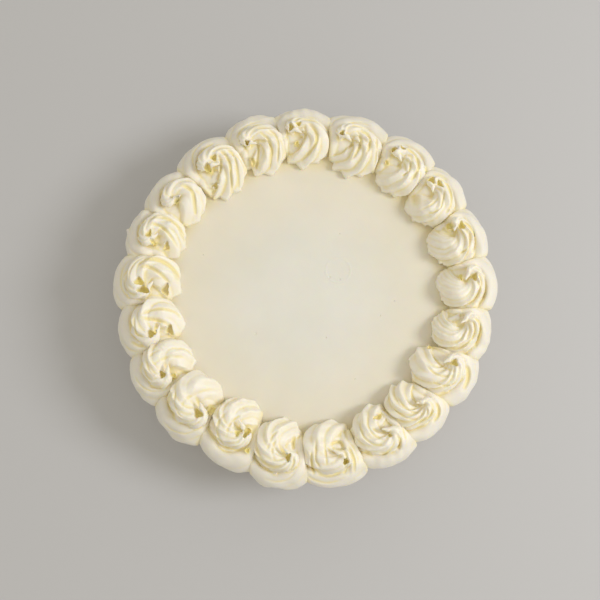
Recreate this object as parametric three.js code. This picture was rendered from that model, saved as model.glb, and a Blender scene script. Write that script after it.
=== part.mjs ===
// A round cheesecake: a thin crumb base, a thick flat-topped filling, and a ring of piped cream swirls
// that stand along the edge of the top and overhang the side a little.
// Millimetres, +Z up. The origin is the centre of the underside.

import * as THREE from 'three';

// ---- driving dimensions ----

const CAKE_RADIUS = 120; // of the filling's side
const CRUST_HEIGHT = 8; // thickness of the crumb base
const TOP_HEIGHT = 50; // from the underside to the flat top
const CRUST_LIP = 0.6; // how far the crumb base stands out past the filling
const EDGE_ROUND = 3.5; // rounding of the filling's top edge
const CRUST_ROUND = 1.4; // rounding of the crumb base's edges
const JOIN_GAP = 0.3; // clearance between pieces that touch
const CAKE_SEGMENTS = 60;
const EDGE_STEPS = 3;

// ---- the ring of swirls ----
// Counter-clockwise, starting near +X. Each row holds the bearing of the swirl's middle in degrees,
// the distances of its inner foot and outer lobe from the cake's axis, and the height of its peak.

const SWIRLS = [
  { bearing: 2.7, inner: 88, outer: 130.3, height: 20 },
  { bearing: 19.2, inner: 88, outer: 130.3, height: 21 },
  { bearing: 36.5, inner: 89, outer: 131.3, height: 21 },
  { bearing: 52.3, inner: 89, outer: 133, height: 22 },
  { bearing: 71.3, inner: 86, outer: 132.7, height: 21 },
  { bearing: 90.6, inner: 88, outer: 132.8, height: 21 },
  { bearing: 106.5, inner: 87, outer: 132.7, height: 20 },
  { bearing: 125.2, inner: 85, outer: 131.1, height: 21 },
  { bearing: 143.6, inner: 89, outer: 129.8, height: 20 },
  { bearing: 158.2, inner: 88, outer: 130.8, height: 20 },
  { bearing: 175.3, inner: 84, outer: 131.1, height: 21 },
  { bearing: 191.6, inner: 83, outer: 128.8, height: 21 },
  { bearing: 207.6, inner: 85, outer: 130, height: 20 },
  { bearing: 224.2, inner: 83, outer: 130, height: 21 },
  { bearing: 243.1, inner: 79, outer: 126.8, height: 22 },
  { bearing: 260.2, inner: 83, outer: 129.9, height: 22 },
  { bearing: 278.4, inner: 85, outer: 129.2, height: 20 },
  { bearing: 297.3, inner: 84, outer: 127.5, height: 22 },
  { bearing: 312.1, inner: 83, outer: 126.2, height: 21 },
  { bearing: 329.7, inner: 81, outer: 128, height: 20 },
  { bearing: 345.6, inner: 86, outer: 127.2, height: 20 },
];

// Sizes below are shares of a swirl's half width, half length or height. Across the swirl, side runs
// clockwise round the cake and out runs away from its axis.

const RIDGES = 9; // ridges that a star nozzle leaves round the coil
const RIDGE_DEPTH = 0.24; // groove to ridge, as a share of a coil ring's radius
const RIDGE_TURN = 40; // how far the ridges turn from the coil's foot to its eye, in degrees
const SWIRL_OVERLAP = 1.25; // width of a free swirl over the room it has between its neighbours

// The smooth outer lobe under the coil: height and radius of its rings.
const LOBE_RINGS = [
  { level: 0, radius: 0.88 },
  { level: 0.14, radius: 1 },
  { level: 0.3, radius: 0.98 },
  { level: 0.4, radius: 0.88 },
];

const COIL_RINGS = 6;
const COIL_LEVELS = { foot: 0.46, top: 1 };
const COIL_RADII = { foot: 0.74, top: 0.15 };
const COIL_FOOT = { side: 0.12, out: -0.22 }; // middle of the coil's foot
const COIL_EYE = { side: -0.3, out: 0.1 }; // where the ridges come together
const COIL_SWAY = 0.14; // how far the coil's rings wander off the line from foot to eye
const EYE_DEPTH = 0.16; // depth of the pit inside the last ring

const degrees = THREE.MathUtils.degToRad;
const { lerp } = THREE.MathUtils;

function creamMaterial() {
  return new THREE.MeshStandardMaterial({ color: 0xf7f2e2, roughness: 0.5, metalness: 0 });
}

// ---- turned pieces ----

function turned(outline) {
  const points = outline.map(([radius, height]) => new THREE.Vector2(radius, height));
  const geometry = new THREE.LatheGeometry(points, CAKE_SEGMENTS);
  geometry.rotateX(Math.PI / 2);
  return geometry;
}

// A quarter circle of the outline, from the side round to the top.
function roundedTopEdge(radius, top, rounding) {
  const points = [];
  for (let i = 0; i <= EDGE_STEPS; i += 1) {
    const angle = (i / EDGE_STEPS) * (Math.PI / 2);
    points.push([
      radius - rounding * (1 - Math.cos(angle)),
      top - rounding * (1 - Math.sin(angle)),
    ]);
  }
  return points;
}

function crust() {
  const radius = CAKE_RADIUS + CRUST_LIP;
  const geometry = turned([
    [0, 0],
    [radius - CRUST_ROUND, 0],
    [radius, CRUST_ROUND],
    [radius, CRUST_HEIGHT - CRUST_ROUND],
    [radius - CRUST_ROUND, CRUST_HEIGHT],
    [0, CRUST_HEIGHT],
  ]);
  const material = new THREE.MeshStandardMaterial({ color: 0xa8713a, roughness: 0.9, metalness: 0 });
  const mesh = new THREE.Mesh(geometry, material);
  mesh.name = 'crust';
  return mesh;
}

function filling() {
  const underside = CRUST_HEIGHT + JOIN_GAP;
  const geometry = turned([
    [0, underside],
    [CAKE_RADIUS, underside],
    ...roundedTopEdge(CAKE_RADIUS, TOP_HEIGHT, EDGE_ROUND),
    [0, TOP_HEIGHT],
  ]);
  const material = new THREE.MeshStandardMaterial({ color: 0xf1e9cf, roughness: 0.6, metalness: 0 });
  const mesh = new THREE.Mesh(geometry, material);
  mesh.name = 'filling';
  return mesh;
}

// ---- piped swirls ----

// Middle, height, radius and ridges of every ring of a swirl, from its foot to its eye.
function ringShapes() {
  const rings = LOBE_RINGS.map(({ level, radius }) => (
    { level, radius, side: 0, out: 0, depth: 0, turn: 0 }
  ));
  for (let i = 0; i < COIL_RINGS; i += 1) {
    const share = i / (COIL_RINGS - 1);
    const sway = COIL_SWAY * Math.sin(Math.PI * share);
    rings.push({
      level: lerp(COIL_LEVELS.foot, COIL_LEVELS.top, share ** 0.8),
      radius: lerp(COIL_RADII.foot, COIL_RADII.top, share),
      side: lerp(COIL_FOOT.side, COIL_EYE.side, share) + sway,
      out: lerp(COIL_FOOT.out, COIL_EYE.out, share) + sway,
      depth: RIDGE_DEPTH,
      turn: degrees(RIDGE_TURN * share),
    });
  }
  return rings;
}

// The points of one ring. limits gives the room to either side, so that swirls that meet are pressed
// flat against each other.
function ringPoints(ring, size, limits) {
  const points = [];
  for (let i = 0; i < RIDGES * 2; i += 1) {
    const bearing = ((i + 0.5) / (RIDGES * 2)) * Math.PI * 2 + ring.turn;
    const reach = ring.radius * (i % 2 === 0 ? 1 : 1 - ring.depth);
    const side = (ring.side + reach * Math.cos(bearing)) * size.halfWidth;
    const out = (ring.out + reach * Math.sin(bearing)) * size.halfLength;
    const room = size.middle + out;
    const pressed = Math.min(Math.max(side, -limits.left * room), limits.right * room);
    points.push(new THREE.Vector3(pressed, out, ring.level * size.height));
  }
  return points;
}

// A closed body through a stack of rings, from a flat foot up to an eye inside the last ring.
function stackedRings(rings, eye) {
  const count = rings[0].length;
  const foot = new THREE.Vector3();
  rings[0].forEach((point) => foot.addScaledVector(point, 1 / count));
  const points = [...rings.flat(), foot, eye];
  const footIndex = rings.length * count;
  const eyeIndex = footIndex + 1;
  const faces = [];
  for (let i = 0; i < count; i += 1) {
    const next = (i + 1) % count;
    faces.push(footIndex, next, i);
    for (let ring = 0; ring < rings.length - 1; ring += 1) {
      const low = ring * count;
      const high = low + count;
      faces.push(low + i, low + next, high + next);
      faces.push(low + i, high + next, high + i);
    }
    const last = (rings.length - 1) * count;
    faces.push(last + i, last + next, eyeIndex);
  }
  const geometry = new THREE.BufferGeometry().setFromPoints(points);
  geometry.setIndex(faces);
  geometry.computeVertexNormals();
  return geometry;
}

// Sideways room per millimetre from the cake's axis, up to the line halfway to a neighbour.
function roomTowards(swirl, neighbour) {
  const apart = (neighbour.bearing - swirl.bearing + 540) % 360 - 180;
  return Math.tan(degrees(Math.abs(apart)) / 2);
}

function swirlMesh(index) {
  const swirl = SWIRLS[index];
  const next = SWIRLS[(index + 1) % SWIRLS.length];
  const previous = SWIRLS[(index + SWIRLS.length - 1) % SWIRLS.length];
  const middle = (swirl.inner + swirl.outer) / 2;
  const clearance = JOIN_GAP / middle;
  const limits = {
    left: roomTowards(swirl, next) - clearance,
    right: roomTowards(swirl, previous) - clearance,
  };
  const size = {
    middle,
    halfLength: (swirl.outer - swirl.inner) / 2,
    halfWidth: (SWIRL_OVERLAP * middle * (limits.left + limits.right)) / 2,
    height: swirl.height,
  };
  const rings = ringShapes().map((ring) => ringPoints(ring, size, limits));
  const eye = new THREE.Vector3(
    COIL_EYE.side * size.halfWidth,
    COIL_EYE.out * size.halfLength,
    (1 - EYE_DEPTH) * size.height,
  );
  const mesh = new THREE.Mesh(stackedRings(rings, eye), creamMaterial());
  mesh.name = `swirl_${String(index + 1).padStart(2, '0')}`;
  const bearing = degrees(swirl.bearing);
  mesh.position.set(middle * Math.cos(bearing), middle * Math.sin(bearing), TOP_HEIGHT + JOIN_GAP);
  mesh.rotation.z = bearing - Math.PI / 2;
  return mesh;
}

const cheesecake = new THREE.Group();
cheesecake.add(crust(), filling());
SWIRLS.forEach((_, index) => cheesecake.add(swirlMesh(index)));

export default cheesecake;
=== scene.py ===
"""A round cheesecake with a crumb base, a flat pale top and a ring of piped cream swirls.

The shapes are worked out in millimetres and turned into metres when a mesh is made.
In a swirl's own frame x runs clockwise round the cake, y away from its axis and z up.
"""
import math

import bpy
import numpy as np
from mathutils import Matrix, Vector


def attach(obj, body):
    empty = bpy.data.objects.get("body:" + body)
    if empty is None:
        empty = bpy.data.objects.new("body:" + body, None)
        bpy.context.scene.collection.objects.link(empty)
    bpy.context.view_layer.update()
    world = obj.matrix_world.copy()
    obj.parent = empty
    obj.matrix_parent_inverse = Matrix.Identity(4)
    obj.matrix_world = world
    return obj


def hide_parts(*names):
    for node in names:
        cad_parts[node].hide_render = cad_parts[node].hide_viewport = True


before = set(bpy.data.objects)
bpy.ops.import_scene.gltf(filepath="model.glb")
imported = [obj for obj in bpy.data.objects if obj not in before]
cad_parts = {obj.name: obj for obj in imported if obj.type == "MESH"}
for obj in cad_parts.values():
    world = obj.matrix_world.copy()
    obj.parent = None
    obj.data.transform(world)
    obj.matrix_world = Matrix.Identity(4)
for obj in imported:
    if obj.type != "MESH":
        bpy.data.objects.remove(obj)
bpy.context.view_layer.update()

MM = 0.001
BODY = "root"

# ---- the cake ----
CAKE_RADIUS = 120.0
CRUST_LIP = 0.6
CRUST_HEIGHT = 8.0
TOP_HEIGHT = 50.0
EDGE_ROUND = 3.5
CRUST_ROUND = 1.6
RING_RADIUS = 106.0  # where neighbouring swirls have the pitch of their bearings

# ---- the swirls, counter-clockwise from +X ----
# Each row holds the bearing in degrees, the inner and outer reach from the axis and the height in mm, the eye
# where the ridges come together, the number of ridges and the depth between them as a share of a ring's
# radius, and then what differs from SHAPE below.
# pits: x, y, half width, half length and height of the floor, before the swirl is fitted to its place.
# folds: x, y, z and radius at each step along a ridge of its own, before that too.
# grooves: half width and depth, and then x, y at each step along the groove, once it is in place.
SWIRLS = [
    dict(
        bearing=2.7, inner=88, outer=130.3, height=20, eye=(-4.2, 3.0),
        ridges=7, depth=0.13, deep_side=0.7, trough=0.8, fine=0.05,
        pits=[(-4, 3.2, 2.2, 2.2, 11.5), (-4.6, -6, 2.4, 1.2, 10)],
        grooves=[
            (1.3, 2.1, (-6, 10.2), (-3.5, 12.9), (1, 13.8), (6, 13.2), (10, 11.6), (13.5, 8.8)),
            (1.1, 1.7, (-5, 8.8), (0, 9.6), (5, 8.6), (9, 6.3), (12, 3.2), (13.3, -1)),
        ],
    ),
    dict(
        bearing=19.2, inner=88, outer=130.3, height=21, eye=(-6.5, 3.0),
        ridges=7, depth=0.13, deep_side=0.7, trough=0.8, fine=0.05,
        pits=[(-7, 4, 2.4, 2.2, 11.5), (-9.8, -4, 2.7, 2.6, 10)],
        grooves=[
            (1.2, 2.0, (-8.5, 9), (-5, 12), (0, 13.6), (5, 12.8), (9, 10.3), (12, 6.8)),
            (1.0, 1.6, (-2, 9.8), (2, 9), (6, 6.8), (8.8, 4), (9.8, -1)),
        ],
    ),
    dict(
        bearing=36.5, inner=89, outer=131.3, height=21, eye=(-5.0, 5.0),
        ridges=7, depth=0.12, deep_side=0.6, trough=0.7, fine=0.02,
        pits=[(-4.8, 6.6, 2.6, 1.5, 12.6), (-9.8, 3.4, 2.2, 2.4, 12)],
        grooves=[
            (2.2, 1.3, (-15, 12.5), (-11, 16), (-5, 18)),
            (1.3, 2.0, (-8, 12), (-3, 13.3), (3, 12.6), (8, 9.8), (11.5, 6), (13, 1.5)),
            (0.9, 1.3, (-2, 10), (2.5, 7.5), (6, 3), (8.5, -1), (8, -6), (5, -8.5)),
            (3.2, 1.4, (-10, -5), (-7.5, -8), (-3, -11)),
            (1.0, 0.9, (2, 3), (3, -4), (1, -12)),
        ],
    ),
    dict(
        bearing=52.3, inner=89, outer=133, height=22, eye=(-4.5, 4.6),
        ridges=8, depth=0.11, deep_side=0.4, trough=0.7, fine=0.02,
        pits=[(-7.2, 7.2, 2, 0.9, 13), (-11, 2.8, 1.5, 2, 11.5), (-10, -6.5, 1.6, 1.6, 8)],
        grooves=[
            (2.0, 1.1, (-11, 15.5), (-5, 17.5), (3, 17.8), (8, 16)),
            (1.3, 2.0, (-8, 11.5), (-4, 13), (1, 12.8), (6, 10), (9, 6), (10, 1), (9.5, -3)),
            (1.1, 1.5, (0.5, 9.5), (3.5, 5), (5, 0), (3, -4.5)),
            (0.8, 1.0, (-4, 9.5), (-3, 5), (-4, 1)),
        ],
    ),
    dict(
        bearing=71.3, inner=86, outer=132.7, height=21, eye=(-5.5, 4.0),
        ridges=8, depth=0.13, deep_side=0.0,
        pits=[(-9.6, 1.2, 1.2, 2.0, 11.8)],
        grooves=[
            (1.0, 0.7, (-14, 9.5), (-10, 15.5), (-3, 19), (5, 19.6)),
            (1.4, 1.1, (-7, 12.5), (0, 13.8), (6, 13.3)),
            (1.3, 2.0, (0, 10.5), (4.5, 9.8), (8, 6), (9, 1), (8.5, -5)),
            (1.3, 2.0, (-1.5, 8.5), (1.5, 5.5), (2.8, 1), (2, -5), (0.5, -10)),
            (1.0, 1.3, (11, 12), (13, 6), (14.5, 0), (16.5, -8)),
            (1.1, 1.4, (-3.5, 6), (-3, 2), (-4.5, -3)),
        ],
    ),
    dict(
        bearing=90.6, inner=88, outer=132.8, height=21, eye=(-4.0, 4.6),
        ridges=7, depth=0.14, deep_side=0.0,
        pits=[(-3.4, 5.4, 1.5, 1.5, 12.8), (-8, 2.6, 1.6, 2.6, 12), (-4.6, -7.6, 1.5, 2.2, 9)],
        grooves=[
            (1.7, 1.1, (-8, 11), (-2, 13), (4, 13), (9, 11.5)),
            (1.5, 2.2, (2.5, 9.5), (6.5, 6), (8.5, 1), (7.5, -5), (3.5, -9.5), (-1, -12.5)),
            (1.2, 1.6, (0, 9), (1, 3), (-1, -3), (-4, -8)),
        ],
    ),
    dict(
        bearing=106.5, inner=87, outer=132.7, height=20, eye=(-5.2, 3.2),
        ridges=7, depth=0.14, deep_side=0.0,
        pits=[(-8.5, -0.6, 1.4, 1.8, 11.8), (-8.2, -12.5, 1.4, 3.4, 7)],
        grooves=[
            (1.0, 0.8, (-15.5, 8.9), (-13, 13), (-9, 16.8), (-2, 19), (6, 18.8)),
            (2.0, 1.0, (-7, 10.5), (0, 12.5), (6, 10.5)),
            (1.3, 2.0, (1.5, 7), (4.8, 2), (5.5, -5), (3.5, -10), (1, -15)),
            (1.2, 1.8, (-2, 4), (-2.8, -2), (-5.5, -8), (-8, -13)),
            (1.0, 1.6, (7, 8), (10.5, 4), (11, -2), (9.5, -8), (7, -14)),
        ],
    ),
    dict(
        bearing=125.2, inner=85, outer=131.1, height=21, eye=(-1.0, 3.6),
        ridges=9, depth=0.13, deep_side=0.0,
        pits=[(1.4, 3.4, 1.7, 2.0, 11.5), (-4.8, -0.6, 1.9, 3.2, 10), (-7, -11.5, 2, 2, 5.5)],
        grooves=[
            (1.0, 0.8, (-14.5, 3.5), (-11, 12.5), (-6.5, 18.5), (2, 21.5), (10, 20.5)),
            (1.2, 1.9, (5, 4), (4, -0.5), (0, -5), (-4.5, -8)),
            (1.3, 2.0, (7.5, 6), (9, 2), (8.5, -4), (5.5, -10), (1, -17), (-2, -21)),
            (1.1, 1.5, (11, 6), (13.5, 1), (12.5, -6), (9, -13), (5, -19)),
            (1.1, 1.2, (-12, 4.5), (-9, 10), (-4, 15), (3, 16.6), (9, 16)),
        ],
    ),
    dict(
        bearing=143.6, inner=89, outer=129.8, height=20, eye=(-0.8, 2.6),
        ridges=7, depth=0.11,
        pits=[(-1.8, -2.8, 2.2, 1.1, 10.5)],
        grooves=[
            (1.5, 2.0, (7, 5), (9.3, 1), (9, -4), (6, -8), (1, -12), (-1, -13.5)),
            (1.6, 1.1, (8, 11), (13, 9.5), (16, 6)),
            (1.1, 1.2, (-8, 5), (-7.5, 10), (-3, 14.5), (3, 15.8)),
        ],
    ),
    dict(
        bearing=158.2, inner=88, outer=130.8, height=20, eye=(-3.4, 3.4),
        ridges=7, depth=0.12,
        pits=[(-3.4, 3.2, 2.6, 1.8, 11.5), (-7.4, -2.8, 1.7, 2.6, 10), (-6, -11.5, 2.8, 2.2, 6.5)],
        folds=[
            ((-8, 17, 6, 4), (-5, 21, 6.5, 2.8), (-3, 24.6, 6.5, 1.0)),
        ],
        grooves=[
            (1.3, 1.8, (2.5, 8), (4.5, 3), (3.5, -3), (0.5, -9), (-3, -14)),
            (1.5, 1.8, (6.5, 9), (10, 3), (11, -3), (9, -10), (5, -14), (2, -17)),
            (1.0, 1.1, (-9, 9.5), (-5, 14), (2, 16.3)),
            (0.7, 0.9, (-1, 11), (6, 11.2)),
        ],
    ),
    dict(
        bearing=175.3, inner=84, outer=131.1, height=21, eye=(-4.6, 1.5),
        ridges=6, depth=0.14, orbit_end=5.0, radius_power=1.5,
        pits=[(-3.2, 3, 2.4, 2.8, 11.5), (-8.2, -0.5, 2.3, 3.8, 10), (-6, -13.6, 3.5, 2.4, 5.5)],
        grooves=[
            (1.0, 0.8, (-14, 10.5), (-9, 15.5), (-3, 17.8), (5, 18), (12, 15)),
            (1.5, 1.8, (6, 5), (7, 0), (5, -6), (1, -12), (-2, -15)),
            (1.9, 2.2, (8, 6), (11.5, 1), (12.5, -5), (11, -12), (6, -18), (0, -20)),
            (1.4, 1.2, (-13, 5.5), (-10, 10.5), (-4, 13.8), (4, 13.5)),
            (0.8, 1.1, (-4, 10.3), (3, 10.5), (10, 7.5), (15, 1.5)),
        ],
    ),
    dict(
        bearing=191.6, inner=83, outer=128.8, height=21, eye=(-6.0, -0.5),
        ridges=6, depth=0.13, orbit_end=5.0, radius_power=1.5,
        pits=[(-8, -1.6, 2.4, 3, 11), (-7, -13, 3.2, 2.3, 5.5)],
        grooves=[
            (1.0, 0.8, (-17, 8.5), (-14, 15.2), (-8.5, 19.2), (-1, 20.5)),
            (1.0, 1.3, (-9, 4.5), (-6, 8), (0, 8.3), (5, 7.5)),
            (1.5, 1.3, (-14, 5), (-13, 9), (-9, 13.5)),
            (1.3, 1.1, (-3, 11.5), (4, 12), (10, 10)),
            (1.4, 1.8, (3, 3), (1.5, -3), (-1, -9), (-5, -15)),
            (1.3, 1.7, (5.5, 2), (7, -4), (6.5, -11), (4, -18), (0, -21)),
        ],
    ),
    dict(
        bearing=207.6, inner=85, outer=130, height=20, eye=(-5.0, 1.5),
        ridges=8, depth=0.09, deep_side=0.5, trough=0.8, jagged=0.04, radius_power=1.5,
        pits=[(-6, 1.2, 2.3, 1.8, 11.5), (-9.4, -5.2, 1.9, 1.5, 10)],
        grooves=[
            (1.0, 0.8, (-14.5, 7), (-10.8, 14.5), (-4, 18.8), (4, 19.5)),
            (1.3, 1.5, (-13, 4), (-12, 8), (-8, 13.5)),
            (0.8, 1.0, (-7, 9.5), (-2, 11.5), (5, 11.5)),
            (0.8, 0.9, (-6, 7), (0, 8.5), (6, 7.5)),
            (1.3, 0.8, (2.5, 4), (3, -2), (2, -8), (-1, -14)),
            (1.1, 0.7, (8, 5), (9, 0), (8, -6)),
        ],
    ),
    dict(
        bearing=224.2, inner=83, outer=130, height=21, eye=(-7.0, 0.6),
        ridges=8, depth=0.09, deep_side=0.5, trough=0.8, jagged=0.04, radius_power=1.5,
        pits=[(-8.4, 0, 2.9, 2.3, 11.5), (-12, -7.6, 2.9, 3.1, 8)],
        grooves=[
            (1.0, 0.8, (-15.5, 8.2), (-11.8, 15), (-4.5, 19.5), (4, 20.5)),
            (0.9, 1.0, (-14, 3), (-11, 8), (-5, 12)),
            (1.6, 1.5, (0, 11), (6, 11), (11, 7.5), (13, 2)),
            (0.8, 1.1, (2, 8), (7, 5), (11, 0)),
            (0.7, 0.9, (-7, 7), (-3, 8.8), (1, 8.4)),
            (1.4, 0.8, (1, 5), (2.5, -1), (1, -8), (-2, -15), (-6, -20)),
        ],
    ),
    dict(
        bearing=243.1, inner=79, outer=126.8, height=22, eye=(-3.2, -0.6),
        ridges=9, depth=0.09, deep_side=0.4, trough=0.8, fine=0.02, jagged=0.05,
        pits=[(-2.6, 0, 1.4, 2.1, 12.5), (-7, -3.4, 1.8, 3.4, 10), (-11.8, 7, 1.6, 1.8, 9.5)],
        grooves=[
            (1.0, 1.1, (-9, 6), (-4, 9.5), (2, 10.8), (8, 8.5)),
            (1.1, 1.0, (-6, 5.5), (0, 7.3), (6, 5), (10, 0), (11, -6), (9, -13)),
            (1.1, 0.9, (2, 1), (4, -4), (3, -10), (0, -15)),
        ],
    ),
    dict(
        bearing=260.2, inner=83, outer=129.9, height=22, eye=(-5.0, 3.5),
        ridges=9, depth=0.09, deep_side=0.4, trough=0.8, fine=0.02,
        pits=[(-6.3, 2, 1.5, 2.4, 11.5)],
        grooves=[
            (1.1, 0.7, (-13, 11), (-9, 16), (-2, 18.8), (6, 18.5)),
            (1.5, 2.4, (-9.5, -3), (-8.6, -6.5), (-8.4, -11.5)),
            (1.1, 1.4, (-10.5, 1), (-10.8, 6), (-9, 11.5)),
            (1.5, 1.4, (-4, 9), (1, 10.3), (6, 9), (11, 5), (14, 0)),
            (0.8, 1.3, (-6, 11.5), (0, 13), (6, 12.7), (12, 9), (16, 3), (17, -3)),
            (1.0, 0.8, (1, 5.5), (3.5, 1), (3.5, -4), (1, -10)),
            (1.0, 0.7, (7, 0), (5, -9), (0, -15)),
        ],
    ),
    dict(
        bearing=278.4, inner=85, outer=129.2, height=20, eye=(-3.6, 5.0),
        ridges=7, depth=0.11, deep_side=0.1, jagged=0.03,
        pits=[(-7.4, 7, 1.6, 1.8, 11.5)],
        folds=[
            ((-9, 18, 8, 1.8), (-11.5, 11, 10, 2), (-11.5, 3, 10.5, 2), (-9, -5, 8.5, 1.8),
             (-8, -14, 4, 1.3)),
            ((-2, -12, 7, 1.8), (-3, -16, 5, 1.6), (-2, -19, 3, 1.0)),
        ],
        grooves=[
            (1.1, 0.9, (-6, 17.2), (0, 18.8), (7, 18.4), (14, 15), (17, 11)),
            (1.4, 2.0, (-13.2, 15), (-14.2, 9), (-13.4, 4), (-12, -2)),
            (1.2, 1.6, (-7, 14.5), (-9, 9), (-9.5, 4), (-8, 0), (-3, -1)),
            (1.4, 2.0, (-8.8, -1.5), (-7.6, -4.8), (-4, -5.6), (-0.5, -4.4)),
            (0.9, 1.2, (-4, 14.5), (3, 15), (10, 13)),
            (1.0, 1.3, (3.5, 7), (3.2, 0), (3, -6)),
            (1.0, 1.3, (8, 9), (10, 3), (9, -3), (8, -9)),
            (1.1, 2.0, (12.5, 12), (12.8, 5), (12, -2)),
        ],
    ),
    dict(
        bearing=297.3, inner=84, outer=127.5, height=22, eye=(-3.6, 3.6),
        ridges=8, depth=0.13, deep_side=0.1, trough=0.5, sharp=0.85,
        pits=[(-4, 3, 1.0, 1.5, 12.5), (-3.5, -11.8, 3, 1.7, 7.2)],
        folds=[
            ((-7, 16.5, 8, 1.6), (-9.5, 11, 11, 1.9), (-10.5, 2, 11, 1.9), (-9, -8, 8, 1.7),
             (-6, -16, 4.5, 1.3)),
        ],
        grooves=[
            (1.3, 2.0, (-8.5, 4.5), (-8.3, 8), (-5.5, 13)),
            (1.2, 1.7, (-5.5, 6.5), (-2, 9.5), (3, 10.8), (7, 9)),
            (1.0, 1.3, (2, 6.5), (8, 2), (11, -4), (10, -10), (7, -15)),
            (1.0, 1.2, (1, 3), (5, -3), (5.5, -9), (3, -14)),
        ],
    ),
    dict(
        bearing=312.1, inner=83, outer=126.2, height=21, eye=(-5.0, 4.6),
        ridges=9, depth=0.13, deep_side=0.1, trough=0.7, sharp=0.9,
        pits=[],
        grooves=[
            (1.3, 2.0, (-13.3, 5), (-12, 9), (-9, 11.7), (-4, 12.6)),
            (1.2, 1.8, (-9.5, 2.5), (-8.5, 5.5), (-5, 7.6), (0, 7.4), (4.5, 5.8)),
            (0.9, 1.1, (-1, 3.5), (3, -2), (4, -8), (3, -15)),
            (0.9, 1.2, (4, 4), (8, -1), (9.5, -8), (9, -14)),
            (0.8, 1.0, (-4, 1), (-4.5, -6), (-7, -12)),
        ],
    ),
    dict(
        bearing=329.7, inner=81, outer=128, height=20, eye=(-5.6, 3.6),
        ridges=9, depth=0.13, deep_side=0.2, trough=0.7, sharp=0.9,
        pits=[(-6.9, 3.2, 1.9, 2.2, 12.5), (-9.6, -15, 1.7, 1.7, 4.5)],
        grooves=[
            (1.8, 2.1, (-10.3, 9), (-8, 12.3), (-3, 14.8), (4, 15.4)),
            (0.8, 1.2, (3, 8), (7, 5.5), (9.5, 1), (10.5, -4)),
            (1.0, 1.2, (1, 4), (4.5, -2), (5, -8), (3, -14)),
            (1.1, 1.2, (-2, 3), (-2, -4), (-5, -12), (-9, -17)),
        ],
    ),
    dict(
        bearing=345.6, inner=86, outer=127.2, height=20, eye=(-5.8, 3.6),
        ridges=8, depth=0.12, deep_side=0.6, trough=0.8, fine=0.07, jagged=0.04,
        pits=[],
        folds=[
            ((-9, -4, 9, 1.8), (-5, -11, 7.5, 2.2), (-0.5, -17.5, 4, 1.5)),
        ],
        grooves=[
            (1.3, 2.1, (-9.2, 6), (-7.5, 9.5), (-3, 11.8), (3, 12), (8, 10.8)),
            (1.1, 1.7, (-7, 5.3), (-2, 7.3), (3, 7), (8, 4.3), (12, 0), (13.5, -5)),
        ],
    ),
]

# What a swirl has unless its own row says otherwise. It is 30 by 46 mm before it is fitted to its place.
SHAPE = dict(
    # the coil's way in: the bearing it starts at, its turn in degrees, and how it closes in on its middle
    start=-105, turn=355, orbit=7.6, orbit_power=0.8, orbit_end=3.8, middle_from=(1.0, -3.2),
    # the radius of its rings, and the share that is left at the eye
    radius=13.0, radius_end=0.13, radius_power=1.0,
    # the heights of its foot and eye, and how far and how soon its rings tilt over
    low=3.6, high=15.8, rise_power=0.8, tilt=52, tilt_by=0.3,
    # its ridges: their turn, and how sharp, ragged, unequal and fine they are
    twist=0.5, sharp=0.75, jagged=0.015, deep_side=0.3, trough=0.3, spread=0.5, fine=0.0,
    # the second lobe, the nozzle's tail, and the bends and lean of the whole
    back_shift=(-4.5, 0.3), back_drop=2.4, spike=1.0, rough=0.25, lean=0.12,
    folds=(),
)
COIL_STEPS = 170
COIL_AROUND = 150
TEETH = 64  # as many sizes of ridge are drawn
TOOTH_SPREAD = 0.25  # how much they differ
DEEP_BEARING = 50  # degrees round a ring to where deep_side has its grooves deepest
TEAR_RATE = 60  # small tears along a ridge from the foot to the eye
WAVES = 6  # soft bends in a swirl
WAVE_LENGTH = 10.0

# The smooth last turn round the outside of a swirl: x, y, z and radius along its way.
BAND = (
    (16.5, 3.0, 2.0, 3.0), (15.0, 10.0, 3.4, 4.8), (7.5, 16.0, 4.4, 5.8), (-1.0, 17.6, 5.0, 6.1),
    (-8.5, 15.0, 5.6, 5.6), (-13.2, 9.5, 6.2, 4.6), (-14.0, 2.0, 6.6, 3.8), (-12.0, -5.5, 5.0, 3.0),
)
BAND_STEPS = 64
# Low mounds inside a swirl, and beside it up to its neighbours: x, y, half width, half length and height.
CORE = (0.0, -0.5, 17.5, 15.2, 9.0)
FILLS = ((-12.2, -4.5, 4.6, 10.0, 9.0), (12.8, -4.0, 4.2, 10.0, 8.0))
MOUND_LEVELS = (0, 0.2, 0.4, 0.6, 0.75, 0.87, 0.95, 0.99)

PIT_PLUG = 13.0  # what keeps the cream under a pit solid reaches this high before the pit is taken out
PLUG_SHARE = 0.9  # its width as a share of the pit's
PIT_BOWL = 2.0  # rise of a pit's floor towards its edge
PIT_CORNERS = 0.2  # how far a pit's outline is from round, with three corners
# Painted shade on a pit's floor: least on a low floor, full on a high one, and fading out at its edge.
PIT_FLOORS = (5.0, 11.0)  # floors this low have the least shade, and this high the full one
PIT_LEAST_SHADE = 0.6
PIT_EDGE = (0.75, 1.3)  # shares of its width over which its shade ends

FREE_HEIGHT = 17.1  # of a swirl before it is fitted
FREE_PITCH = 29.5  # the room round the cake that it is shaped for
PRESS_WIDTH = 1.4  # the last bit of room before a neighbour
PRESS_OVERLAP = 0.7  # how far past the line halfway to a neighbour a skin may reach
DROOP = 5.5  # how far the outer lobe hangs down at its full reach
DROOP_SPAN = (110.0, 132.0)
DROOP_POWER = 1.3
SINK = 0.15  # how deep a swirl's foot stands in the flat top

# Painted shade in the clefts between neighbouring swirls:
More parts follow.
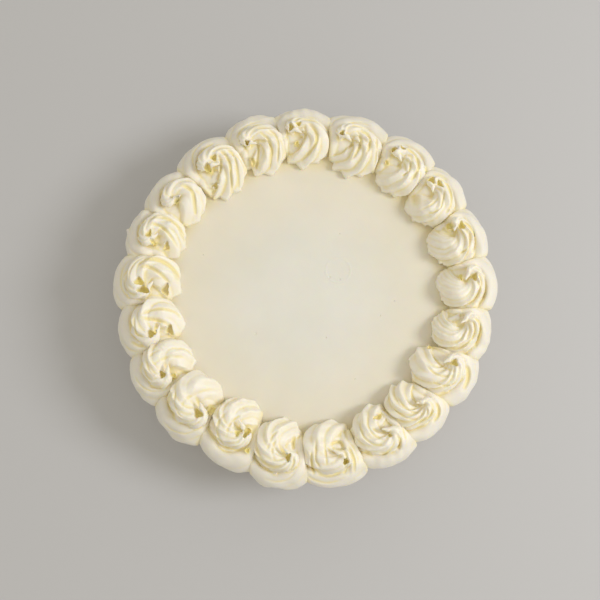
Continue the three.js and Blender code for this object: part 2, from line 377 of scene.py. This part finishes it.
CLEFT_SHADE = 0.36  # of the clefts between neighbours
CLEFT_ROOM = (1.0, 3.5)  # the shade is full this near the neighbour, and gone this far from it
CLEFT_HEIGHT = (7.0, 13.0)  # and full up to this height, and gone above that
GROOVE_STEPS = 48
GROOVE_EDGE = (0.1, 1.25)  # shares of its half width from the full depth to none
GROOVE_FLOOR = 3.0  # no groove is cut lower than this above the flat top
# Painted shade on a groove's floor, full from the depth below.
GROOVE_SHADE = 0.75
GROOVE_FULL = 2.0  # depth from which a groove has its whole shade

VOXEL = 0.58
SMOOTHING = 1
# The cream's painted shade: grooves, pits and clefts get a yellower, darker colour where shade falls in them.
# How grooves are told from crests: rounds of averaging, then the depths in mm that count as none and as full.
HOLLOW_SCALES = ((8, -0.1, 0.36), (16, 0.0, 0.7))
HOLLOW_SHADE = 0.6
# Painted shade on the outer lobes: past these metres from the axis the cream is dulled as if shaded.
LOBE_SHADE_SPAN = (0.113, 0.121)  # metres from the axis where the cream turns a shade duller

# Small bubble holes in the flat top, and a faint round blemish: x, y and radius.
TOP_HOLES = (
    (16.2, 12.2, 0.9), (23.0, 10.8, 0.8), (59.5, -4.1, 0.9), (50.0, -14.2, 0.8), (13.5, -29.1, 0.8),
    (23.0, 42.6, 0.7), (66.9, -46.6, 0.8), (32.4, -56.8, 0.7), (-70.3, 27.7, 0.8), (-33.8, -26.4, 1.1),
)
TOP_HOLE_FLOOR = 0.35  # as a share of a hole's radius
TOP_RING = (22.0, 17.0, 8.5)
TOP_RING_WIDTH = 1.2
TOP_RING_RISE = 0.35  # as a share of a hole's depth

# Metres from the axis where the flat top's colour turns to the rim's, to a painted yellow shadow near and
# under the swirls, and back.
RIM_SPAN = (0.02, 0.085)
SWIRL_SHADOW_SPAN = (0.084, 0.096)
SIDE_SPAN = (0.108, 0.118)


# ---- number helpers ----

def eased(x, low, high):
    t = np.clip((x - low) / (high - low), 0.0, 1.0)
    return t * t * (3.0 - 2.0 * t)


def lattice_noise(points, cell, seed):
    """Smooth noise from -1 to 1 with features about one cell across."""
    table = np.random.default_rng(seed).uniform(-1.0, 1.0, 4096)
    scaled = points / cell
    base = np.floor(scaled).astype(np.int64)
    t = scaled - base
    t = t * t * (3.0 - 2.0 * t)
    total = np.zeros(len(points))
    for corner in np.ndindex(2, 2, 2):
        weight = np.prod(np.where(corner, t, 1.0 - t), axis=1)
        c = base + corner
        key = (c[:, 0] * 73856093) ^ (c[:, 1] * 19349663) ^ (c[:, 2] * 83492791)
        total += weight * table[key & 4095]
    return total


def star_wave(phase, sharp):
    """1 on the crest of each ridge and 0 in each groove."""
    straight = np.abs((phase / (2 * np.pi)) % 1.0 * 2.0 - 1.0)
    rounded = np.sqrt(0.5 + 0.5 * np.cos(phase) + 1e-9)
    return sharp * straight + (1.0 - sharp) * rounded


def trough_wave(phase):
    """The same with a thin crest and a wide round groove."""
    return 1.0 - np.sqrt(0.5 - 0.5 * np.cos(phase) + 1e-9)


# ---- mesh helpers ----

def closed_rings(rings):
    """Vertices and faces of a tube through the rings, closed by a fan at each end."""
    count, around, _ = rings.shape
    vertices = np.vstack([rings.reshape(-1, 3), rings[0].mean(0), rings[-1].mean(0)])
    i, j = np.meshgrid(np.arange(count - 1), np.arange(around), indexing="ij")
    k = (j + 1) % around
    quads = np.stack([i * around + j, i * around + k, (i + 1) * around + k, (i + 1) * around + j], -1)
    faces = [tuple(q) for q in quads.reshape(-1, 4).tolist()]
    first, last = count * around, count * around + 1
    for a in range(around):
        b = (a + 1) % around
        faces.append((first, b, a))
        faces.append((last, (count - 1) * around + a, (count - 1) * around + b))
    return vertices, faces


def tube(path, radii, around, squash=1.0):
    """Rings of a round tube along a path."""
    heading = np.gradient(path, axis=0)
    heading /= np.linalg.norm(heading, axis=1)[:, None]
    side = np.cross(heading, (0.0, 0.0, 1.0))
    side /= np.linalg.norm(side, axis=1)[:, None] + 1e-9
    up = np.cross(side, heading)
    angle = np.linspace(0, 2 * np.pi, around, endpoint=False)
    across = np.cos(angle)[None, :, None] * side[:, None, :]
    upward = squash * np.sin(angle)[None, :, None] * up[:, None, :]
    return path[:, None, :] + (across + upward) * radii[:, None, None]


def joined(parts):
    vertices, faces, offset = [], [], 0
    for part_vertices, part_faces in parts:
        vertices.append(part_vertices)
        faces += [tuple(v + offset for v in face) for face in part_faces]
        offset += len(part_vertices)
    return np.vstack(vertices), faces


def new_object(name, vertices, faces):
    mesh = bpy.data.meshes.new(name)
    mesh.from_pydata((vertices * MM).tolist(), [], faces)
    mesh.update()
    obj = bpy.data.objects.new(name, mesh)
    bpy.context.scene.collection.objects.link(obj)
    return obj


def voxel_union(obj):
    """Melts the overlapping closed parts of an object into one smooth skin."""
    remesh = obj.modifiers.new("union", "REMESH")
    remesh.mode = "VOXEL"
    remesh.voxel_size = VOXEL * MM
    remesh.use_smooth_shade = True
    smooth = obj.modifiers.new("smooth", "SMOOTH")
    smooth.factor = 0.5
    smooth.iterations = SMOOTHING
    depsgraph = bpy.context.evaluated_depsgraph_get()
    mesh = bpy.data.meshes.new_from_object(obj.evaluated_get(depsgraph))
    obj.modifiers.clear()
    obj.data = mesh


def get_points(obj):
    flat = np.empty(len(obj.data.vertices) * 3, dtype=np.float32)
    obj.data.vertices.foreach_get("co", flat)
    return flat.reshape(-1, 3).astype(float) / MM


def set_points(obj, points):
    obj.data.vertices.foreach_set("co", (points * MM).astype(np.float32).ravel())
    obj.data.update()


def paint_hollow_shade(obj, painted_shade):
    """Writes the painted shade at each vertex, from how hollow the surface is: 0 on a crest, 0.6 in a groove
    and 1 in a pit.
    """
    mesh = obj.data
    count = len(mesh.vertices)
    edges = np.empty(len(mesh.edges) * 2, dtype=np.int32)
    mesh.edges.foreach_get("vertices", edges)
    a, b = edges.reshape(-1, 2).T
    degree = np.bincount(a, minlength=count) + np.bincount(b, minlength=count)
    normals = np.empty(count * 3, dtype=np.float32)
    mesh.vertices.foreach_get("normal", normals)
    normals = normals.reshape(-1, 3).astype(float)
    points = get_points(obj)

    def averaged(values):
        columns = [np.bincount(a, values[b, k], count) + np.bincount(b, values[a, k], count)
                   for k in range(values.shape[1])]
        return np.stack(columns, 1) / degree[:, None]

    around = points
    shade = np.zeros(count)
    for steps, low, high in HOLLOW_SCALES:
        for _ in range(steps):
            around = averaged(around)
        hollow = ((around - points) * normals).sum(1)
        shade = np.maximum(shade, eased(hollow, low, high))
    value = np.maximum(HOLLOW_SHADE * shade, painted_shade).astype(np.float32)
    mesh.attributes.new("hollow", "FLOAT", "POINT").data.foreach_set("value", value)


# ---- the piped swirls ----

def coil_rings(p):
    """Star-shaped rings that wind inwards and upwards. Their teeth keep their bearing, as the nozzle's do."""
    s = np.linspace(0, 1, COIL_STEPS)
    bearing = np.radians(p["start"] + p["turn"] * s)
    orbit = p["orbit"] * (1 - s) ** p["orbit_power"] + p["orbit_end"] * s
    middle = np.outer(1 - s, p["middle_from"]) + np.outer(s, p["eye"])
    x = middle[:, 0] + orbit * np.cos(bearing)
    y = middle[:, 1] + orbit * np.sin(bearing)
    z = p["low"] + (p["high"] - p["low"]) * s ** p["rise_power"]
    radius = p["radius"] * (1 - (1 - p["radius_end"]) * s ** p["radius_power"])
    heading = np.unwrap(np.arctan2(np.gradient(y), np.gradient(x)))
    tilt = np.radians(p["tilt"]) * eased(s, 0, p["tilt_by"])
    theta = np.linspace(0, 2 * np.pi, COIL_AROUND, endpoint=False)
    ahead = np.stack([np.cos(heading), np.sin(heading), 0 * heading], 1)
    side = np.stack([np.sin(heading), -np.cos(heading), 0 * heading], 1)
    up = -ahead * np.cos(tilt)[:, None] + np.array([0, 0, 1.0]) * np.sin(tilt)[:, None]
    tooth_bearing = heading[:, None] - np.pi / 2 - theta[None, :]
    uneven = p["spread"] * np.sin(2 * tooth_bearing + p["seed"])
    uneven = uneven + 0.5 * p["spread"] * np.sin(3 * tooth_bearing + 2 * p["seed"])
    phase = p["ridges"] * (tooth_bearing - np.radians(p["phase"])) + uneven
    phase -= p["twist"] * (heading - heading[0])[:, None]
    crest = (1 - p["trough"]) * star_wave(phase, p["sharp"]) + p["trough"] * trough_wave(phase)
    tooth = np.round(phase / (2 * np.pi)).astype(int) % TEETH
    size = 1 + TOOTH_SPREAD * np.random.default_rng(p["seed"]).uniform(-1, 1, TEETH)[tooth]
    size = size + p["deep_side"] * np.cos(tooth_bearing - np.radians(DEEP_BEARING))
    along = np.broadcast_to(s[:, None] * TEAR_RATE, tooth.shape)
    along = np.stack([along, tooth * 7.3, 0 * tooth], -1).reshape(-1, 3)
    ragged = lattice_noise(along, cell=1.0, seed=p["seed"] + 5).reshape(tooth.shape)
    ragged = ragged * p["jagged"] * crest ** 3
    reach = 1 - 2 * p["depth"] * size * (1 - crest) + ragged
    reach -= p["fine"] * (1 - star_wave(3 * phase, 0.9))
    ring = np.cos(theta)[None, :, None] * side[:, None, :] + np.sin(theta)[None, :, None] * up[:, None, :]
    rings = np.stack([x, y, z], 1)[:, None, :] + ring * (radius[:, None] * reach)[:, :, None]
    foot = rings[0] * (1, 1, 0)
    return np.concatenate([[foot, (foot + rings[0]) / 2], rings])


def curve_through(rows, count):
    """A smooth curve through the rows, with the columns running along together."""
    rows = np.asarray(rows, dtype=float)
    rows = np.vstack([2 * rows[0] - rows[1], rows, 2 * rows[-1] - rows[-2]])
    spans = len(rows) - 3
    u = np.linspace(0, spans, count)
    i = np.minimum(u.astype(int), spans - 1)
    t = (u - i)[:, None]
    a, b, c, d = rows[i], rows[i + 1], rows[i + 2], rows[i + 3]
    bend = (2 * a - 5 * b + 4 * c - d) * t ** 2
    twist = (3 * b - a - 3 * c + d) * t ** 3
    return 0.5 * (2 * b + (c - a) * t + bend + twist)


def band_rings(shift, drop):
    """The smooth last turn: a crescent along the outer edge that rises and narrows to the inner side."""
    line = curve_through(BAND, BAND_STEPS)
    path = line[:, :3] + (shift[0], shift[1], -drop)
    ends = np.interp(np.linspace(0, 1, BAND_STEPS), [0, 0.06, 0.94, 1], [0.5, 1, 1, 0.6])
    return tube(path, line[:, 3] * ends, around=48, squash=0.9)


def fold_rings(rows):
    """A ridge of its own, where the cream folded or tore. Each row holds x, y, z and radius."""
    line = curve_through(rows, count=30)
    return tube(line[:, :3], line[:, 3], around=20)


def mound_rings(x, y, half_width, half_length, height, power):
    """A round heap with a flat foot. A higher power makes its side steeper."""
    angle = np.linspace(0, 2 * np.pi, 40, endpoint=False)
    rings = []
    for level in MOUND_LEVELS:
        reach = (1 - level ** power) ** (1 / power)
        ring = np.stack([half_width * np.cos(angle), half_length * np.sin(angle), 0 * angle], 1) * reach
        rings.append(ring + (x, y, level * height))
    return np.array(rings)


def spike_rings(start, size):
    """The tail that the nozzle pulls out of the last turn and over the pit."""
    s = np.linspace(0, 1, 14)[:, None]
    middle = start + size * np.array([1.2, -2.2, 0.2])
    end = start + size * np.array([4.4, -3.4, 0.8])
    path = (1 - s) ** 2 * start + 2 * s * (1 - s) * middle + s ** 2 * end
    return tube(path, 1.7 * (1 - s[:, 0]) ** 0.7 + 0.15, around=14)


def wobbled(points, seed, amount):
    """Soft uneven bends, so that no two swirls are alike."""
    rng = np.random.default_rng(seed)
    moved = points.copy()
    for _ in range(WAVES):
        direction = rng.normal(size=3)
        direction /= np.linalg.norm(direction)
        length = WAVE_LENGTH * rng.uniform(0.6, 1.6)
        wave = np.sin(points @ direction * 2 * np.pi / length + rng.uniform(0, 2 * np.pi))
        moved += wave[:, None] * rng.normal(size=3) * amount / 2
    return moved


def carved(points, pits):
    """Takes out the pits, and tells how much painted shade each point gets on a pit's floor."""
    painted_shade = np.zeros(len(points))
    for x, y, half_width, half_length, floor_height in pits:
        across, along = (points[:, 0] - x) / half_width, (points[:, 1] - y) / half_length
        corners = 1 + PIT_CORNERS * np.cos(3 * np.arctan2(along, across) + x + 2 * y)
        away = np.hypot(across, along) * corners
        limit = floor_height + PIT_BOWL * away ** 2
        cut = (away < 1.0) & (points[:, 2] > limit)
        points[:, 2] = np.where(cut, limit, points[:, 2])
        near = (points[:, 2] > floor_height - 1.0) & (points[:, 2] < floor_height + PIT_BOWL + 1.5)
        shade = PIT_LEAST_SHADE + (1 - PIT_LEAST_SHADE) * eased(floor_height, *PIT_FLOORS)
        painted_shade = np.maximum(painted_shade, shade * near * (1 - eased(away, *PIT_EDGE)))
    return points, painted_shade


def grooved(points, p, painted_shade):
    """Presses the grooves into the cream, and paints shade on their floors."""
    bearing = math.radians(p["bearing"])
    x = points[:, 0] * math.sin(bearing) - points[:, 1] * math.cos(bearing)
    y = points[:, 0] * math.cos(bearing) + points[:, 1] * math.sin(bearing) - RING_RADIUS
    on_top = points[:, 2] > TOP_HEIGHT + GROOVE_FLOOR
    lowered = np.zeros(len(points))
    for half_width, depth, *way in p["grooves"]:
        line = curve_through(way, GROOVE_STEPS)
        away = np.hypot(x[:, None] - line[None, :, 0], y[:, None] - line[None, :, 1])
        ends = np.sin(np.pi * (away.argmin(1) + 0.5) / GROOVE_STEPS) ** 0.5
        full, none = GROOVE_EDGE
        share = (1 - eased(away.min(1), full * half_width, none * half_width)) * ends * on_top
        lowered = np.maximum(lowered, depth * share)
        painted_shade = np.maximum(painted_shade, GROOVE_SHADE * share * min(depth / GROOVE_FULL, 1) ** 1.5)
    moved = points.copy()
    moved[:, 2] -= lowered
    return moved, painted_shade


def pressed(distance):
    """Squeezes what would reach past a neighbour into the last bit of room before it."""
    squeezed = PRESS_WIDTH * np.exp(np.minimum(distance, PRESS_WIDTH) / PRESS_WIDTH - 1)
    return np.where(distance < PRESS_WIDTH, squeezed, distance)


def fitted(points, p, before, after):
    """Puts a swirl in its place, pressed against its neighbours, and paints shade into the clefts between
    them.
    """
    pitch = math.radians((after - before) / 2) * RING_RADIUS
    x = points[:, 0] * pitch / FREE_PITCH
    y = np.interp(points[:, 1], [points[:, 1].min(), points[:, 1].max()], [p["inner"], p["outer"]])
    z = points[:, 2] * p["height"] / FREE_HEIGHT
    radius = np.hypot(x, y)
    bearing = p["bearing"] - np.degrees(np.arctan2(x, y))
    lean = np.degrees(p["lean"] * (radius - RING_RADIUS) / RING_RADIUS)
    per_degree = np.radians(1.0) * radius
    low, high = (before + p["bearing"]) / 2 + lean, (after + p["bearing"]) / 2 + lean
    margin = PRESS_OVERLAP / per_degree
    low, high = low - margin, high + margin
    room = np.minimum(bearing - low, high - bearing) * per_degree
    cleft = (1 - eased(room, *CLEFT_ROOM)) * (1 - eased(z, *CLEFT_HEIGHT))
    bearing = low + pressed((bearing - low) * per_degree) / per_degree
    bearing = high - pressed((high - bearing) * per_degree) / per_degree
    droop = DROOP * eased(radius, *DROOP_SPAN) ** DROOP_POWER
    angle = np.radians(bearing)
    place = np.stack([radius * np.cos(angle), radius * np.sin(angle), TOP_HEIGHT - SINK + z - droop], 1)
    return place, CLEFT_SHADE * cleft


def swirl_parts(p):
    """The overlapping closed parts of a swirl, each as rings."""
    coil = coil_rings(p)
    parts = [coil, band_rings((0, 0), 0), band_rings(p["back_shift"], p["back_drop"])]
    parts.append(mound_rings(*CORE, power=3))
    parts += [mound_rings(*fill, power=2) for fill in FILLS]
    parts += [fold_rings(fold) for fold in p["folds"]]
    for x, y, half_width, half_length, _ in p["pits"]:
        size = PLUG_SHARE * half_width, PLUG_SHARE * half_length, PIT_PLUG
        parts.append(mound_rings(x, y, *size, power=6))
    parts.append(spike_rings(coil[-1].mean(0), p["spike"]))
    return parts


def swirl(index, cream):
    count = len(SWIRLS)
    p = {**SHAPE, "seed": index, "phase": 13 * index, **SWIRLS[index]}
    before = SWIRLS[index - 1]["bearing"] - (360 if index == 0 else 0)
    after = SWIRLS[(index + 1) % count]["bearing"] + (360 if index == count - 1 else 0)
    solids = []
    for rings in swirl_parts(p):
        vertices, faces = closed_rings(rings)
        vertices = wobbled(vertices, p["seed"] + 11, p["rough"])
        vertices[:, 2] = np.maximum(vertices[:, 2], 0.0)
        solids.append((vertices, faces))
    obj = new_object(f"cream_{index + 1:02d}", *joined(solids))
    voxel_union(obj)
    points, painted_shade = carved(get_points(obj), p["pits"])
    points, painted_cleft_shade = fitted(points, p, before, after)
    points, painted_shade = grooved(points, p, np.maximum(painted_shade, painted_cleft_shade))
    set_points(obj, points)
    paint_hollow_shade(obj, painted_shade)
    obj.data.materials.append(cream)
    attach(obj, BODY)
    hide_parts(f"swirl_{index + 1:02d}")


# ---- the filling and the crumb base ----

def turned_mesh(name, outline, segments, uneven):
    """A closed turned body. The outline runs from the middle of the underside to the middle of the top."""
    radius, height = np.array(outline).T
    angle = np.linspace(0, 2 * np.pi, segments, endpoint=False)
    inner = slice(1, len(radius) - 1)
    rings = np.stack([
        radius[inner, None] * np.cos(angle), radius[inner, None] * np.sin(angle),
        np.broadcast_to(height[inner, None], (len(radius) - 2, segments)),
    ], -1)
    vertices, faces = closed_rings(rings)
    obj = new_object(name, uneven(vertices), faces)
    obj.data.polygons.foreach_set("use_smooth", [True] * len(obj.data.polygons))
    return obj


def rounded_outline(radius, bottom, top, rounding, step, edge_steps, top_count):
    """Outline of a disc with rounded edges, with points about one step apart on its side."""
    def rounded(centre_height, angles):
        return [(radius - rounding + rounding * np.cos(angle), centre_height + rounding * np.sin(angle))
                for angle in angles[1:]]

    count = int((top - bottom - 2 * rounding) / step)
    points = [(r, bottom) for r in np.linspace(0, radius - rounding, 8)]
    points += rounded(bottom + rounding, np.linspace(-np.pi / 2, 0, edge_steps))
    points += [(radius, z) for z in np.linspace(bottom + rounding, top - rounding, count + 1)[1:]]
    points += rounded(top - rounding, np.linspace(0, np.pi / 2, edge_steps))
    points += [(r, top) for r in np.linspace(radius - rounding, 0, top_count + 1)[1:]]
    return points


def uneven_filling(v):
    side = np.hypot(v[:, 0], v[:, 1])
    outward = v[:, :2] / np.maximum(side, 1e-6)[:, None]
    on_top = eased(v[:, 2], TOP_HEIGHT - EDGE_ROUND, TOP_HEIGHT)
    broad = 0.22 * lattice_noise(v * (1, 1, 0), cell=38.0, seed=3)
    broad = broad + 0.08 * lattice_noise(v * (1, 1.6, 0), cell=13.0, seed=4)
    v = v.copy()
    v[:, 2] += on_top * broad
    band = 0.25 * lattice_noise(v * (0.5, 0.5, 2.2), cell=14.0, seed=5)
    band = band + 0.1 * lattice_noise(v, cell=5.0, seed=6)
    v[:, :2] += outward * ((1 - on_top) * (band - 0.3))[:, None]
    return v


def uneven_crust(v):
    side = np.hypot(v[:, 0], v[:, 1])
    outward = v[:, :2] / np.maximum(side, 1e-6)[:, None]
    grain = 0.35 * lattice_noise(v, cell=3.2, seed=8) + 0.3 * lattice_noise(v, cell=1.5, seed=9)
    edge = eased(side, CAKE_RADIUS - 8, CAKE_RADIUS - 1)
    v = v.copy()
    v[:, :2] += outward * (edge * (grain - 0.45))[:, None]
    return v


# ---- materials ----

def shader(name):
    material = bpy.data.materials.new(name)
    material.use_nodes = True
    tree = material.node_tree
    return material, tree.nodes, tree.links, tree.nodes["Principled BSDF"]


def noise_node(nodes, links, coordinates, scale, detail, roughness):
    node = nodes.new("ShaderNodeTexNoise")
    node.inputs["Scale"].default_value = scale
    node.inputs["Detail"].default_value = detail
    node.inputs["Roughness"].default_value = roughness
    links.new(coordinates, node.inputs["Vector"])
    return node


def ramp_node(nodes, links, factor, stops):
    node = nodes.new("ShaderNodeValToRGB")
    while len(node.color_ramp.elements) < len(stops):
        node.color_ramp.elements.new(0.5)
    for element, (position, colour) in zip(node.color_ramp.elements, stops):
        element.position = position
        element.color = (*colour, 1.0)
    links.new(factor, node.inputs["Fac"])
    return node


def bump_node(nodes, links, height, distance, strength, under=None):
    node = nodes.new("ShaderNodeBump")
    node.inputs["Distance"].default_value = distance
    node.inputs["Strength"].default_value = strength
    links.new(height, node.inputs["Height"])
    if under is not None:
        links.new(under.outputs["Normal"], node.inputs["Normal"])
    return node


def span_node(nodes, links, value, low, high):
    """0 below low and 1 above high, with a soft step between."""
    node = nodes.new("ShaderNodeMapRange")
    node.interpolation_type = "SMOOTHSTEP"
    node.inputs["From Min"].default_value = low
    node.inputs["From Max"].default_value = high
    links.new(value, node.inputs["Value"])
    return node.outputs["Result"]


def mix_node(nodes, links, factor, first, second):
    """Mixes two colours. The second is a socket or a plain colour."""
    node = nodes.new("ShaderNodeMix")
    node.data_type = "RGBA"
    links.new(factor, node.inputs["Factor"])
    links.new(first, node.inputs[6])
    if isinstance(second, tuple):
        node.inputs[7].default_value = (*second, 1.0)
    else:
        links.new(second, node.inputs[7])
    return node.outputs[2]


def sum_node(nodes, links, operation, first, second):
    node = nodes.new("ShaderNodeMath")
    node.operation = operation
    links.new(first, node.inputs[0])
    links.new(second, node.inputs[1])
    return node.outputs[0]


def reach_node(nodes, links, place):
    """Distance from the cake's axis."""
    flat = nodes.new("ShaderNodeVectorMath")
    flat.operation = "MULTIPLY"
    flat.inputs[1].default_value = (1.0, 1.0, 0.0)
    links.new(place, flat.inputs[0])
    length = nodes.new("ShaderNodeVectorMath")
    length.operation = "LENGTH"
    links.new(flat.outputs["Vector"], length.inputs[0])
    return length.outputs["Value"]


def away_node(nodes, links, place, x, y):
    """Distance from a point of the flat top."""
    node = nodes.new("ShaderNodeVectorMath")
    node.operation = "DISTANCE"
    links.new(place, node.inputs[0])
    node.inputs[1].default_value = (x * MM, y * MM, TOP_HEIGHT * MM)
    return node.outputs["Value"]


def top_marks(nodes, links, place):
    """A height that drops by one in each small bubble hole and rises a little along the faint ring."""
    x, y, radius = TOP_RING
    away = away_node(nodes, links, place, x, y)
    inner = span_node(nodes, links, away, (radius - TOP_RING_WIDTH) * MM, radius * MM)
    outer = span_node(nodes, links, away, radius * MM, (radius + TOP_RING_WIDTH) * MM)
    ridge = sum_node(nodes, links, "SUBTRACT", inner, outer)
    faint = nodes.new("ShaderNodeMath")
    faint.operation = "MULTIPLY"
    links.new(ridge, faint.inputs[0])
    faint.inputs[1].default_value = TOP_RING_RISE
    total = faint.outputs[0]
    for x, y, radius in TOP_HOLES:
        away = away_node(nodes, links, place, x, y)
        rise = span_node(nodes, links, away, TOP_HOLE_FLOOR * radius * MM, radius * MM)
        total = sum_node(nodes, links, "ADD", total, rise)
    return total


def cream_material():
    material, nodes, links, bsdf = shader("piped_cream")
    place = nodes.new("ShaderNodeTexCoord").outputs["Object"]
    cloud = noise_node(nodes, links, place, scale=55.0, detail=3.0, roughness=0.5)
    crest = ramp_node(nodes, links, cloud.outputs["Fac"], [
        (0.3, (0.93, 0.878, 0.765)), (0.7, (0.95, 0.90, 0.80)),
    ])
    # Painted shade: the hollow attribute mixes a yellow shade colour into grooves, pits and clefts.
    hollow = nodes.new("ShaderNodeAttribute")
    hollow.attribute_name = "hollow"
    depth = ramp_node(nodes, links, hollow.outputs["Fac"], [(0.0, (0, 0, 0)), (HOLLOW_SHADE, (1, 1, 1))])
    groove = ramp_node(nodes, links, hollow.outputs["Fac"], [
        (HOLLOW_SHADE, (0.90, 0.80, 0.455)), (1.0, (0.89, 0.79, 0.35)),
    ])
    reach = reach_node(nodes, links, place)
    # Painted shade: the outer lobes get a duller cream colour.
    lobe_shade = span_node(nodes, links, reach, *LOBE_SHADE_SPAN)
    outer = mix_node(nodes, links, lobe_shade, crest.outputs["Color"], (0.84, 0.805, 0.715))
    colour = mix_node(nodes, links, depth.outputs["Color"], outer, groove.outputs["Color"])
    links.new(colour, bsdf.inputs["Base Color"])
    foam = noise_node(nodes, links, place, scale=1400.0, detail=3.0, roughness=0.6)
    bump = bump_node(nodes, links, foam.outputs["Fac"], distance=0.0002, strength=0.35)
    links.new(bump.outputs["Normal"], bsdf.inputs["Normal"])
    bsdf.inputs["Roughness"].default_value = 0.45
    bsdf.inputs["Specular IOR Level"].default_value = 0.4
    bsdf.inputs["Subsurface Weight"].default_value = 0.4
    bsdf.inputs["Subsurface Radius"].default_value = (1.0, 0.85, 0.4)
    bsdf.inputs["Subsurface Scale"].default_value = 0.0012
    return material


def filling_material():
    material, nodes, links, bsdf = shader("cheese_filling")
    place = nodes.new("ShaderNodeTexCoord").outputs["Object"]
    cloud = noise_node(nodes, links, place, scale=22.0, detail=4.0, roughness=0.55)
    middle = ramp_node(nodes, links, cloud.outputs["Fac"], [
        (0.3, (0.80, 0.79, 0.715)), (0.7, (0.84, 0.825, 0.76)),
    ])
    rim = ramp_node(nodes, links, cloud.outputs["Fac"], [
        (0.3, (0.81, 0.77, 0.645)), (0.7, (0.85, 0.805, 0.69)),
    ])
    reach = reach_node(nodes, links, place)
    outward = span_node(nodes, links, reach, *RIM_SPAN)
    under_cream = span_node(nodes, links, reach, *SWIRL_SHADOW_SPAN)
    plain = mix_node(nodes, links, outward, middle.outputs["Color"], rim.outputs["Color"])
    on_side = span_node(nodes, links, reach, *SIDE_SPAN)
    # Painted shadow: the flat top turns yellow near and under the swirls, but not on the side.
    swirl_shadow = sum_node(nodes, links, "SUBTRACT", under_cream, on_side)
    shadowed = mix_node(nodes, links, swirl_shadow, plain, (0.84, 0.765, 0.53))
    links.new(shadowed, bsdf.inputs["Base Color"])
    fine = noise_node(nodes, links, place, scale=700.0, detail=4.0, roughness=0.6)
    grain = bump_node(nodes, links, fine.outputs["Fac"], distance=0.0002, strength=0.25)
    marks = top_marks(nodes, links, place)
    bump = bump_node(nodes, links, marks, distance=0.00035, strength=0.8, under=grain)
    links.new(bump.outputs["Normal"], bsdf.inputs["Normal"])
    bsdf.inputs["Roughness"].default_value = 0.5
    bsdf.inputs["Specular IOR Level"].default_value = 0.35
    bsdf.inputs["Subsurface Weight"].default_value = 0.4
    bsdf.inputs["Subsurface Radius"].default_value = (1.0, 0.75, 0.35)
    bsdf.inputs["Subsurface Scale"].default_value = 0.0015
    return material


def crumb_material():
    material, nodes, links, bsdf = shader("crumb_base")
    place = nodes.new("ShaderNodeTexCoord").outputs["Object"]
    grain = noise_node(nodes, links, place, scale=420.0, detail=5.0, roughness=0.7)
    colour = ramp_node(nodes, links, grain.outputs["Fac"], [
        (0.28, (0.17, 0.075, 0.022)), (0.5, (0.38, 0.19, 0.065)), (0.72, (0.60, 0.36, 0.15)),
    ])
    links.new(colour.outputs["Color"], bsdf.inputs["Base Color"])
    bump = bump_node(nodes, links, grain.outputs["Fac"], distance=0.0012, strength=0.8)
    links.new(bump.outputs["Normal"], bsdf.inputs["Normal"])
    bsdf.inputs["Roughness"].default_value = 0.9
    return material


# ---- stage ----

FLOOR_SIZE = 3.0
FLOOR_GAP = 0.2  # mm under the cake, so that the two faces don't lie in one plane
KEY_TOWARDS = (1.0, -0.08, 0.93)
KEY_AWAY = 1.6
CAMERA_TARGET = (-0.0040, -0.0047, 0.057)
CAMERA_ELEVATION = 80  # degrees
CAMERA_AWAY = 0.575


def floor():
    bpy.ops.mesh.primitive_plane_add(size=FLOOR_SIZE, location=(0, 0, -FLOOR_GAP * MM))
    obj = bpy.context.object
    obj.name = "floor"
    material, _, _, bsdf = shader("pale_floor")
    bsdf.inputs["Base Color"].default_value = (0.55, 0.55, 0.56, 1.0)
    bsdf.inputs["Roughness"].default_value = 0.8
    obj.data.materials.append(material)


def lights():
    key = bpy.data.lights.new("key", "AREA")
    key.shape = "DISK"
    key.size = 0.56
    key.energy = 10.8
    key.color = (0.98, 0.985, 1.0)
    obj = bpy.data.objects.new("key", key)
    bpy.context.scene.collection.objects.link(obj)
    towards = Vector(KEY_TOWARDS).normalized()
    obj.location = towards * KEY_AWAY
    obj.rotation_mode = "QUATERNION"
    obj.rotation_quaternion = (-towards).to_track_quat("-Z", "Y")
    world = bpy.data.worlds.new("studio")
    bpy.context.scene.world = world
    world.use_nodes = True
    background = world.node_tree.nodes["Background"]
    background.inputs["Color"].default_value = (1.0, 0.952, 0.85, 1.0)
    background.inputs["Strength"].default_value = 0.65


def camera():
    """Almost straight above, a little towards the viewer."""
    data = bpy.data.cameras.new("camera")
    data.sensor_width = 36.0
    data.lens = 51.6
    obj = bpy.data.objects.new("camera", data)
    bpy.context.scene.collection.objects.link(obj)
    elevation = math.radians(CAMERA_ELEVATION)
    back = Vector((0.0, -math.cos(elevation), math.sin(elevation)))
    obj.location = Vector(CAMERA_TARGET) + back * CAMERA_AWAY
    obj.rotation_mode = "QUATERNION"
    obj.rotation_quaternion = (-back).to_track_quat("-Z", "Y")
    bpy.context.scene.camera = obj


def turned_piece(name, outline, segments, uneven, material, node):
    obj = turned_mesh(name, outline, segments, uneven)
    obj.data.materials.append(material)
    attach(obj, BODY)
    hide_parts(node)


def main():
    bpy.context.scene.view_settings.view_transform = "Standard"
    camera()
    lights()
    floor()
    cream = cream_material()
    for index in range(len(SWIRLS)):
        swirl(index, cream)
    outline = rounded_outline(
        CAKE_RADIUS, CRUST_HEIGHT, TOP_HEIGHT, EDGE_ROUND, step=1.8, edge_steps=6, top_count=64)
    turned_piece("cheese", outline, 320, uneven_filling, filling_material(), "filling")
    outline = rounded_outline(
        CAKE_RADIUS + CRUST_LIP, 0.0, CRUST_HEIGHT, CRUST_ROUND, step=0.8, edge_steps=4, top_count=6)
    turned_piece("crumb", outline, 500, uneven_crust, crumb_material(), "crust")


main()
